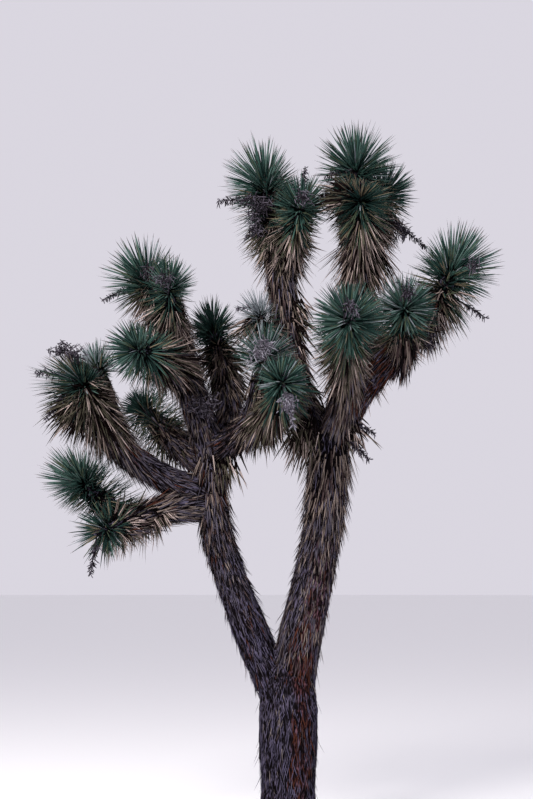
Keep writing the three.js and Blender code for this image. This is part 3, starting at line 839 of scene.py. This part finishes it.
# Live leaves: widths and distances in metres, and reaches as shares of the rosette's own.
liveShape = {
    "perMetre": 1080, "spread": 116.0, "width": 0.0138, "thick": 0.30, "crook": 0.025, "sag": 0.05,
    "shortest": 0.5, "overlap": 0.05, "reach": (0.84, 1.07), "rootDepth": 0.34, "hub": (0.010, 0.020, 3),
    "turnNoise": 0.4, "tiltNoise": 6.0, "deepAndShade": 0.30, "parts": (0.48, 0.86), "pale": 0.04,
    "oldTo": 0.22, "oldShort": 0.6, "fadedTo": 0.3, "rootShadeFrom": 0.45,
    "outline": [(0.0, 0.9), (0.24, 1.0), (0.60, 0.72), (0.88, 0.30)],
}


def liveLeaves(bough):
    # Leaves turn by the golden angle, from upright ones at the heart to ones folded just past level.
    count = int(liveShape["perMetre"] * bough["side"] * bough.get("dense", 1))
    share, turn = spiral(liveShape, count)
    tilt = np.arccos(1 - share * (1 - math.cos(math.radians(liveShape["spread"]))))
    tilt += np.radians(draw.normal(0, liveShape["tiltNoise"], count))
    outward, direction = ringOut(bough["facing"], turn, tilt)
    reach = np.hypot(bough["reach"] * np.cos(tilt), bough["side"] * np.sin(tilt))
    reach *= bough.get("trim", 1) * draw.uniform(*liveShape["reach"], count)
    old = bough.get("old", 0)
    reach *= 1 - liveShape["oldShort"] * old * (share < liveShape["oldTo"])
    reach *= heldBack(bough, "hold", direction)
    tip = bough["heart"] + direction * reach[:, None]
    inner, wider, rate = liveShape["hub"]
    root = bough["heart"] - bough["facing"] * (liveShape["rootDepth"] * bough["side"] * share)[:, None] \
        + outward * (inner + wider * np.minimum(share * rate, 1))[:, None]
    tip, keep = trimmed(bough, root, tip, liveShape)
    # Deep green leaves come at random, and at a higher share on some rosettes, which paints their shade.
    deepAndShade = bough.get("deepAndShade", liveShape["deepAndShade"])
    edges = [deepAndShade] + [deepAndShade + (1 - deepAndShade) * part for part in liveShape["parts"]]
    tones = dealTones(edges, [leafDeep, leafTeal, leafBlueGreen, leafOlive], count)
    tones = np.where(draw.uniform(0, 1, count) < bough.get("pale", liveShape["pale"]), leafPale, tones)
    faded = draw.uniform(0, 1, count) < old
    olive = np.where(faded & (tones < leafDeep), leafOlive, tones)
    tones = np.where(faded & (share < liveShape["fadedTo"]), leafFading, olive)
    # Painted shade: the outer leaves get near-black green roots, as shade inside the rosette.
    rootShades = np.where(share < liveShape["rootShadeFrom"], tones, leafRootShade)
    return leafBatch(root[keep], tip[keep], bough["facing"], slimmed(bough, liveShape),
                     liveShape["sag"] * np.sin(tilt[keep]), tones[keep], rootShades[keep], leafPoint)


# The collar: older leaves round the stem behind the head, dull green or fading. Distances in metres.
collarShape = {
    "perMetre": 4000, "from": 0.05, "to": 0.29, "tilt": (72.0, 128.0), "length": (0.19, 0.27), "grow": 0.7,
    "width": 0.0120, "thick": 0.30, "crook": 0.035, "sag": 0.06, "shortest": 0.45, "overlap": 0.14,
    "hub": 0.032, "turnNoise": 0.7, "tiltNoise": 9.0, "fade": (0.08, 0.55), "fading": 0.45, "deepAndShade": 0.45,
    "outline": liveShape["outline"],
}


def collarLeaves(bough):
    near, far = collarShape["from"], bough.get("collarTo", collarShape["to"])
    size = bough.get("collarSize", 1)
    count = int(collarShape["perMetre"] * bough["side"] * (far - near) * bough.get("dense", 1) * size)
    share, turn = spiral(collarShape, count)
    start, end = (math.radians(angle) for angle in collarShape["tilt"])
    tilt = start + (end - start) * share + np.radians(draw.normal(0, collarShape["tiltNoise"], count))
    outward, direction = ringOut(bough["axis"], turn, tilt)
    root = stemPlaces(bough, near + (far - near) * share) + outward * collarShape["hub"]
    length = leafLengths(bough, collarShape, count) * size
    length *= heldBack(bough, "collarHold" if "collarHold" in bough else "skirtHold", direction)
    tip, keep = trimmed(bough, root, root + direction * length[:, None], collarShape)
    fade = collarShape["fade"][0] + collarShape["fade"][1] * share
    edges = (fade * collarShape["fading"], fade, fade + collarShape["deepAndShade"])
    tones = dealTones(edges, [leafFading, leafOlive, leafDeep, leafTeal], count)
    dull = draw.uniform(0, 1, count) < bough.get("dull", 0)
    tones = np.where((tones == leafTeal) & dull, leafDeep, tones)
    # Painted shade: the collar's leaves get near-black green roots.
    return leafBatch(root[keep], tip[keep], bough["axis"], slimmed(bough, collarShape), collarShape["sag"],
                     tones[keep], leafRootShade, leafPoint)


# The skirt of dead leaves, which fan out from a short stretch of stem and hang.
skirtShape = {
    "perMetre": 1500, "before": 0.12, "after": 0.24, "crowd": 1.3, "hub": (0.030, 0.035),
    "tilt": (94.0, 154.0), "tiltShare": 0.65, "tiltNoise": 0.45, "length": (0.19, 0.31), "grow": 0.6,
    "width": 0.0116, "thick": 0.26, "crook": 0.045, "droop": 0.24, "droopTo": 1.4, "sag": 0.1,
    "shortest": 0.4, "overlap": 0.20, "parts": (0.27, 0.51, 0.73),
    "outline": [(0.0, 0.9), (0.34, 1.0), (0.78, 0.52)],
}


def deadLeaves(bough):
    count = int(skirtShape["perMetre"] * bough["side"] * bough.get("dense", 1) * bough.get("skirtDense", 1))
    share = draw.uniform(0, 1, count) ** skirtShape["crowd"]
    turn = draw.uniform(0, 2 * math.pi, count)
    start, end = (math.radians(angle) for angle in bough.get("skirtTilt", skirtShape["tilt"]))
    folded = skirtShape["tiltShare"] * share + draw.uniform(0, skirtShape["tiltNoise"], count)
    tilt = start + (end - start) * np.clip(folded, 0, 1)
    outward, direction = ringOut(bough["axis"], turn, tilt)
    collarEnd = bough.get("collarTo", collarShape["to"])
    near, far = bough.get("skirtAt", (collarEnd - skirtShape["before"], collarEnd + skirtShape["after"]))
    inner, wider = skirtShape["hub"]
    root = stemPlaces(bough, near + (far - near) * share) + outward * (inner + wider * share)[:, None]
    direction[:, 2] -= skirtShape["droop"] * draw.uniform(0, skirtShape["droopTo"], count)
    length = leafLengths(bough, skirtShape, count) * bough.get("skirtSize", 1)
    length *= heldBack(bough, "skirtHold", unit(direction))
    tip, keep = trimmed(bough, root, root + unit(direction) * length[:, None], skirtShape)
    tones = dealTones(skirtShape["parts"], [strawPale, strawTan, strawOlive, strawDark], count)
    # In a dim skirt a share of the pale leaves turns olive, and of the tan ones dark.
    dim = draw.uniform(0, 1, count) < bough.get("dim", 0)
    tones = np.where((tones < strawOlive) & dim, tones + strawOlive, tones)
    # Painted shade: the roots of the skirt's leaves are near-black.
    return leafBatch(root[keep], tip[keep], outward[keep], skirtShape,
                     draw.uniform(0, skirtShape["sag"], keep.sum()), tones[keep], rootShade=strawDark)


# Loose bunches of dead leaves: under a rosette, where boughs leave the limbs, and down the side of one stem.
# The tones of a bunch begin with firstTone, and the later that is, the fewer of its leaves are pale.
bunchShape = {"spread": 0.24, "length": (0.12, 0.24), "pale": 0.13, "sag": 0.08, "facing": (0, -1.0, 0)}
bunches = [
    dict(half="Left", place=(-1.290, -0.130, 2.800), size=0.035, toward=(-0.60, -0.42, -1.0), spread=0.50,
         count=290, length=(0.23, 0.35), firstTone=strawOlive),
    dict(half="Right", place=(0.135, -0.120, 2.600), size=0.05, toward=(-0.28, -0.15, -1.0), count=110,
         length=(0.16, 0.28)),
    dict(half="Right", place=(0.400, -0.090, 2.620), size=0.035, toward=(0.50, -0.20, -0.8), count=80),
    dict(half="Right", place=(-0.190, 0.020, 3.310), size=0.02, toward=(-0.75, -0.20, -0.7), count=60),
    dict(half="Left", place=(-0.400, 0.050, 2.420), size=0.04, toward=(0.22, -0.30, -1.0), count=60),
    dict(half="Right", place=(0.530, 0.000, 3.800), size=0.03, toward=(0.48, -0.10, -1.0), spread=0.19,
         count=70, length=(0.22, 0.36)),
    dict(half="Right", place=(0.430, -0.290, 4.070), size=0.025, toward=(-1.0, -0.15, -0.10), spread=0.36,
         count=120, length=(0.19, 0.29), firstTone=strawOlive),
]
for height, away, count in ((3.42, 0.060, 34), (3.30, 0.070, 30), (3.16, 0.080, 15), (3.02, 0.095, 12),
                            (2.90, 0.120, 20), (2.80, 0.155, 24)):
    bunches.append(dict(half="Right", place=(away, 0.02, height), size=0.025, toward=(0.70, -0.25, -1.0),
                        count=count, length=(0.11, 0.20)))


def hangingBunch(bunch):
    count = bunch["count"]
    root = np.array(bunch["place"]) + draw.normal(0, bunch["size"], (count, 3))
    stray = draw.normal(0, bunch.get("spread", bunchShape["spread"]), (count, 3))
    length = draw.uniform(*bunch.get("length", bunchShape["length"]), count)
    tip = root + unit(unit(np.array(bunch["toward"])) + stray) * length[:, None]
    firstTone = bunch.get("firstTone", strawTan)
    pale = draw.uniform(0, 1, count) < bunchShape["pale"] / firstTone ** 2
    tones = np.where(pale, strawPale, draw.integers(firstTone, len(strawTones), count))
    # Painted shade: the roots of the bunch's leaves are near-black.
    return leafBatch(root, tip, bunchShape["facing"], skirtShape, bunchShape["sag"], tones,
                     rootShade=strawDark)


def buriedIn(places, owner):
    # True for points well inside a limb other than their own.
    centres, radii = ballPlaces[ballOwners != owner], ballRadii[ballOwners != owner]
    buried = np.zeros(len(places), bool)
    for start in range(0, len(places), blockSize):
        apart = np.linalg.norm(places[start:start + blockSize, None] - centres[None], axis=2)
        buried[start:start + blockSize] = (apart < radii[None] - ballShape["buried"]).any(axis=1)
    return buried


# Shares of the tones of thatch: first and last straw by age, and what ash, umber and slate gain by age,
# weathering or nearness to the ground; near the ground the strands are painted darker, as shade.
thatchMix = {
    "straw": 0.62, "strawTo": 0.9, "strawFall": 1.1, "rust": 0.02, "ash": 0.16, "oldAsh": 0.22,
    "greyAsh": 0.25, "dun": 0.18, "groundShadeLoss": 0.9, "umber": 0.24, "groundShadeUmber": 0.07, "slate": 0.02,
    "groundShadeSlate": 0.55, "groundShadeTo": 1.25, "groundShadeOver": 0.4,
}


def thatchTonesFor(limb, age, root, outward):
    # Straw where the leaves died last, then grey, dun and dark ones, and darker slate-grey strands near the
    # ground as painted shade.
    height = root[:, 2]
    grey, dark = limb.get("weathered", 0), limb.get("dark", 0)
    straw = thatchMix["straw"] * np.clip(1 - age / thatchMix["strawTo"], 0, 1) ** thatchMix["strawFall"]
    straw = straw * (1 - grey) * (1 - dark)
    rust = np.full(len(age), thatchMix["rust"])
    if limb["name"] in rustPatches:
        rust = rustShare(limb["name"], outward, height)
        raised = np.clip((height - rustShape["tanFrom"]) * rustShape["tanRise"], 0, 1)
        tan = rustPatches[limb["name"]].get("tan", 0) * rust * raised
        straw, rust = straw + tan, rust - tan
    # Painted shade: near the ground the strands turn darker and slate-grey.
    low = np.clip((limb.get("groundShadeTo", thatchMix["groundShadeTo"]) - height) / thatchMix["groundShadeOver"], 0, 1)
    high = 1 - thatchMix["groundShadeLoss"] * low
    ash = (thatchMix["ash"] + thatchMix["oldAsh"] * age ** 3 + thatchMix["greyAsh"] * grey) * high
    umber = thatchMix["umber"] + thatchMix["groundShadeUmber"] * low + dark
    slate = thatchMix["slate"] + thatchMix["groundShadeSlate"] * low
    edges = np.cumsum([straw, rust, ash, thatchMix["dun"] * high, umber, slate], axis=0)
    tones = [thatchStraw, thatchRust, thatchAsh, thatchDun, thatchUmber, thatchSlate, thatchPale]
    return dealTones(edges, tones, len(age))


def limbThatch(limb, young):
    # One batch of a limb's thatch: the young part of it or the old one.
    until = min(1.0, limb["skirtFrom"] + thatchShape["past"] / limb["length"])
    area = 2 * math.pi * limb["radius"].mean() * limb["length"] * until
    count = int(max(thatchShape["cover"]) * area)
    share = draw.uniform(0.0, until, count)
    age = np.interp(share, limb["share"], limb["age"])
    keep = draw.uniform(0, 1, count) < aged("cover", age) / max(thatchShape["cover"])
    keep &= (age < thatchShape["youngTo"]) == young
    share, age = share[keep], age[keep]
    count = len(share)
    index = np.clip((share * (len(limb["line"]) - 1)).round().astype(int), 0, len(limb["line"]) - 1)
    tangent = limb["tangents"][index]
    turn = draw.uniform(0, 2 * math.pi, count)
    outward = limb["sideways"][index] * np.cos(turn)[:, None] + limb["upward"][index] * np.sin(turn)[:, None]
    core = limb["core"][index]
    if limb is trunk:
        angle = np.arctan2(outward[:, 1], outward[:, 0])
        core = trunkRadius(share * limb["length"], angle) * barkShape["trunkShare"]
    shift = draw.uniform(-thatchShape["shift"], thatchShape["shift"], count)
    sunk = thatchShape["sink"] * (age < thatchShape["sinkTo"])
    root = limb["line"][index] + tangent * shift[:, None] + outward * (core - sunk)[:, None]
    spread = aged("spread", age) * draw.uniform(*thatchShape["spreadNoise"], count)
    spread = np.where(draw.uniform(0, 1, count) < aged("loose", age), thatchShape["looseSpread"], spread)
    sleek = limb.get("sleek", 1)
    spread *= 0.5 + 0.5 * sleek
    direction = -tangent + outward * spread[:, None]
    direction += np.cross(tangent, outward) * (draw.normal(0, 1, count) * aged("disorder", age))[:, None]
    below = np.clip(-outward[:, 2], 0, 1) * thatchShape["hang"]
    direction[:, 2] -= (aged("droop", age) * draw.uniform(0, 1, count) + below) * sleek
    shortest, longest = aged("shortest", age), aged("longest", age)
    length = shortest + draw.uniform(0, 1, count) * (longest - shortest)
    tip = root + unit(direction) * length[:, None]
    keep = (tip[:, 2] > thatchShape["ground"]) & ~buriedIn(root + outward * thatchShape["lift"], limb["name"])
    shape = {"width": aged("width", age[keep]), "thick": thatchShape["thick"], "crook": thatchShape["crook"],
             "outline": thatchShape["youngOutline" if young else "oldOutline"]}
    tones = thatchTonesFor(limb, age, root, outward)
    # Painted shade: young thatch has its roots painted umber where the leaves overlap.
    return leafBatch(root[keep], tip[keep], outward[keep], shape, 0, tones[keep],
                     rootShade=thatchUmber if young else None)


# Dry flower stalks: a stem with stubby side twigs set close on it like a comb. Sizes are in metres.
stalkShape = {
    "width": 0.012, "thick": 0.8, "arch": 0.12, "outline": [(0.0, 1.0), (0.35, 0.9), (0.7, 0.75)],
    "twigsPerMetre": 340, "twigsFrom": 0.2, "twigLength": (0.022, 0.060), "taper": (1.15, 0.6),
    "twigWidth": 0.0068, "twigOutline": [(0.0, 0.7), (0.75, 1.0)], "tilt": (68, 14), "hang": 0.25,
    "crook": 0.20, "sag": 0.15,
}
slanting = (0.31, 0.17, 0.93)  # a direction that hardly any twig has, to turn its flat side from


def spikes(root, along, length, width, bend, outline, pale=False):
    along = unit(along)
    across = unit(np.cross(along, slanting))
    wide = np.full(len(root), width)
    arrays = {"root": root, "along": along, "across": across, "length": length, "width": wide,
              "thick": wide * stalkShape["thick"], "bend": bend}
    tones = np.where(draw.integers(0, 2, len(root)), stalkBleached if pale else stalkDusk, stalkMauve)
    return {"arrays": arrays, "outline": outline, "tones": tones, "rootShade": None, "pointTone": None}


def flowerStalk(start, end, pale=False):
    span = end - start
    length = np.linalg.norm(span)
    arch = downward * stalkShape["arch"] * length
    stem = spikes(start[None], (span - arch)[None], np.array([np.linalg.norm(span - arch)]),
                  stalkShape["width"], arch[None], stalkShape["outline"], pale)
    count = int(stalkShape["twigsPerMetre"] * length)
    share = draw.uniform(stalkShape["twigsFrom"], 1.0, count)
    root = start + (span - arch) * share[:, None] + arch * (share ** 2)[:, None]
    turn, tilt = draw.uniform(0, 2 * math.pi, count), np.radians(draw.normal(*stalkShape["tilt"], count))
    direction = ringOut(unit(span), turn, tilt)[1] + downward * stalkShape["hang"]
    longest, taper = stalkShape["taper"]
    twigLength = draw.uniform(*stalkShape["twigLength"], count) * (longest - taper * share)
    bend = draw.normal(0, stalkShape["crook"], (count, 3)) + downward * stalkShape["sag"]
    twigs = spikes(root, direction, twigLength, stalkShape["twigWidth"], bend * twigLength[:, None],
                   stalkShape["twigOutline"], pale)
    return [stem, twigs]


# Stalks from their roots to their ends, as places from the heart of the rosette that bore them.
flowerStalks = {
    "upper_left": [((-0.02, -0.03, -0.05), (-0.275, -0.02, -0.155))],
    "far_left": [((0.05, -0.05, 0.10), (-0.19, -0.05, 0.155)), ((-0.05, -0.04, 0.0), (-0.275, -0.04, 0.01)),
                 ((-0.03, -0.05, -0.09), (-0.20, -0.07, -0.29))],
    "lowest_left": [((-0.02, -0.03, -0.03), (-0.055, -0.06, -0.26))],
    "front_middle_low": [((0.0, -0.03, -0.04), (0.06, -0.20, -0.30))],
    "top_middle": [((0.03, -0.03, -0.14), (-0.31, -0.03, -0.155)),
                   ((0.05, -0.06, -0.35), (-0.12, -0.08, -0.40))],
    "small_middle": [((0.0, 0.0, 0.02), (-0.135, 0.0, 0.03))],
    "top_middle_front": [((0.0, -0.02, 0.04), (0.02, 0.0, 0.235))],
    "top_right": [((-0.02, -0.05, -0.04), (-0.22, -0.06, -0.10))],
    "top_right_side": [((-0.06, -0.16, -0.20), (0.265, -0.06, -0.41))],
    "far_right": [((0.02, -0.03, -0.24), (0.185, -0.05, -0.355))],
}
# Withered flower heads on short stems, as places from the heart, and others caught in the thatch.
flowerHeads = {
    "upper_left": [(0.05, -0.23, 0.0)], "far_left": [(-0.09, -0.07, 0.17), (-0.02, -0.10, 0.13)],
    "front_middle": [(0.0, -0.19, 0.02), (-0.04, -0.18, -0.03)],
    "front_middle_low": [(0.03, -0.19, -0.17)], "front_right": [(0.0, -0.21, 0.03)],
    "near_right": [(0.0, -0.20, 0.05)], "far_right": [(0.09, -0.22, -0.04)],
    "top_middle": [(0.0, -0.18, -0.20), (-0.07, -0.18, -0.18), (-0.06, -0.17, -0.27), (-0.05, -0.17, -0.36)],
    "top_middle_front": [(0.0, -0.17, 0.0)], "upper_left_inner": [(-0.01, -0.18, -0.01)],
    "top_right_side": [(0.04, -0.16, -0.27), (0.10, -0.12, -0.31)],
}
caughtHeads = [
    (-0.560, -0.085, 2.750), (-0.485, -0.080, 2.765), (-0.520, -0.080, 2.700), (-0.610, -0.085, 2.715),
    (-1.100, -0.120, 2.530), (0.870, -0.200, 3.190), (0.910, -0.200, 3.125),
]
# Loose stalks caught in the thatch, each from its root to its end.
caughtStalks = [
    ((0.390, -0.130, 2.620), (0.565, -0.160, 2.545)), ((0.370, -0.150, 2.520), (0.530, -0.200, 2.370)),
]
bleached = ("front_middle", "front_middle_low", "small_middle")
headShape = {
    "twigs": 80, "spread": 0.0225, "twigLength": (0.020, 0.052), "width": 0.0062, "hang": 0.3, "crook": 0.3,
    "sag": 0.2, "outline": [(0.0, 0.8), (0.7, 1.0)], "stemWidth": 0.009,
    "stemOutline": [(0.0, 1.0), (0.8, 0.8)],
}


def flowerHead(place, pale=False):
    count = headShape["twigs"]
    root = place + draw.normal(0, headShape["spread"], (count, 3))
    direction = draw.normal(0, 1, (count, 3)) + downward * headShape["hang"]
    length = draw.uniform(*headShape["twigLength"], count)
    bend = (draw.normal(0, headShape["crook"], (count, 3)) + downward * headShape["sag"]) * length[:, None]
    return spikes(root, direction, length, headShape["width"], bend, headShape["outline"], pale)


def flowerStem(start, end):
    span = (end - start)[None]
    length = np.linalg.norm(span, axis=1)
    return spikes(start[None], span, length, headShape["stemWidth"], 0 * span, headShape["stemOutline"])


# The first twelve boughs grow from the left limb and make up the left half of the crown.
halves = {"Left": boughs[:12], "Right": boughs[12:]}

pieces = [trunkBark, boughBark]
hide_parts("trunk", "right_limb", "left_limb")
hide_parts(*["bough_" + bough["name"] for bough in boughs])

for half, members in halves.items():
    live = bladePiece("liveLeaves" + half,
                      [grow(bough) for bough in members for grow in (liveLeaves, collarLeaves)], leafTones)
    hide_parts(*["rosette_" + bough["name"] for bough in members])
    loose = [hangingBunch(bunch) for bunch in bunches if bunch["half"] == half]
    dead = bladePiece("deadLeaves" + half, [deadLeaves(bough) for bough in members] + loose, strawTones)
    thatch = bladePiece("boughThatch" + half,
                        [limbThatch(bough, young) for bough in members for young in (True, False)],
                        thatchTones)
    pieces += [live, dead, thatch]

limbCover = bladePiece("limbThatch", [limbThatch(trunk, False)]
                       + [limbThatch(limb, young) for limb in limbs for young in (True, False)], thatchTones)
stalkBatches = []
for bough in boughs:
    pale = bough["name"] in bleached
    for start, end in flowerStalks.get(bough["name"], []):
        stalkBatches += flowerStalk(bough["heart"] + np.array(start), bough["heart"] + np.array(end), pale)
    for place in flowerHeads.get(bough["name"], []):
        head = bough["heart"] + np.array(place)
        stalkBatches += [flowerStem(bough["heart"], head), flowerHead(head, pale)]
stalkBatches += [flowerHead(np.array(place)) for place in caughtHeads]
for start, end in caughtStalks:
    stalkBatches += flowerStalk(np.array(start), np.array(end))
stalks = bladePiece("flowerStalks", stalkBatches, stalkTones)
pieces += [limbCover, stalks]

for piece in pieces:
    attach(piece, "root")
print("pieces done:", len(pieces))


def plainMaterial(name, colour, roughness):
    material = bpy.data.materials.new(name)
    material.use_nodes = True
    surface = material.node_tree.nodes["Principled BSDF"]
    surface.inputs["Base Color"].default_value = (*colour, 1.0)
    surface.inputs["Roughness"].default_value = roughness
    return material


def softLight(name, place, size, energy, colour):
    deselect()
    bpy.ops.object.light_add(type="AREA", location=place)
    light = bpy.context.active_object
    light.name = name
    light.data.size = size
    light.data.energy = energy
    light.data.color = colour
    aim = np.array(studio["aim"]) - np.array(place)
    tilt = math.atan2(math.hypot(aim[0], aim[1]), -aim[2])
    light.rotation_euler = (tilt, 0, math.atan2(aim[0], -aim[1]) + math.pi)


def setStudio():
    deselect()
    bpy.ops.mesh.primitive_circle_add(vertices=studio["floorSides"], radius=studio["floorRadius"],
                                      fill_type="NGON")
    floor = bpy.context.active_object
    floor.name = "studioFloor"
    floor.data.materials.append(plainMaterial("floorPale", studio["floorColour"], studio["floorRoughness"]))
    world = bpy.data.worlds.new("studioSky")
    world.use_nodes = True
    world.node_tree.nodes["Background"].inputs["Color"].default_value = (*studio["skyColour"], 1.0)
    bpy.context.scene.world = world
    for light in studio["lights"]:
        softLight(*light)


def setCamera():
    deselect()
    bpy.ops.object.camera_add(location=cameraSetup["place"],
                              rotation=(math.radians(90 + cameraSetup["pitch"]), 0, 0))
    camera = bpy.context.active_object
    camera.data.lens = cameraSetup["lens"]
    camera.data.sensor_width = cameraSetup["longSide"]
    bpy.context.scene.camera = camera


setStudio()
setCamera()
bpy.context.scene.view_settings.view_transform = "Standard"
print("studio and camera set")
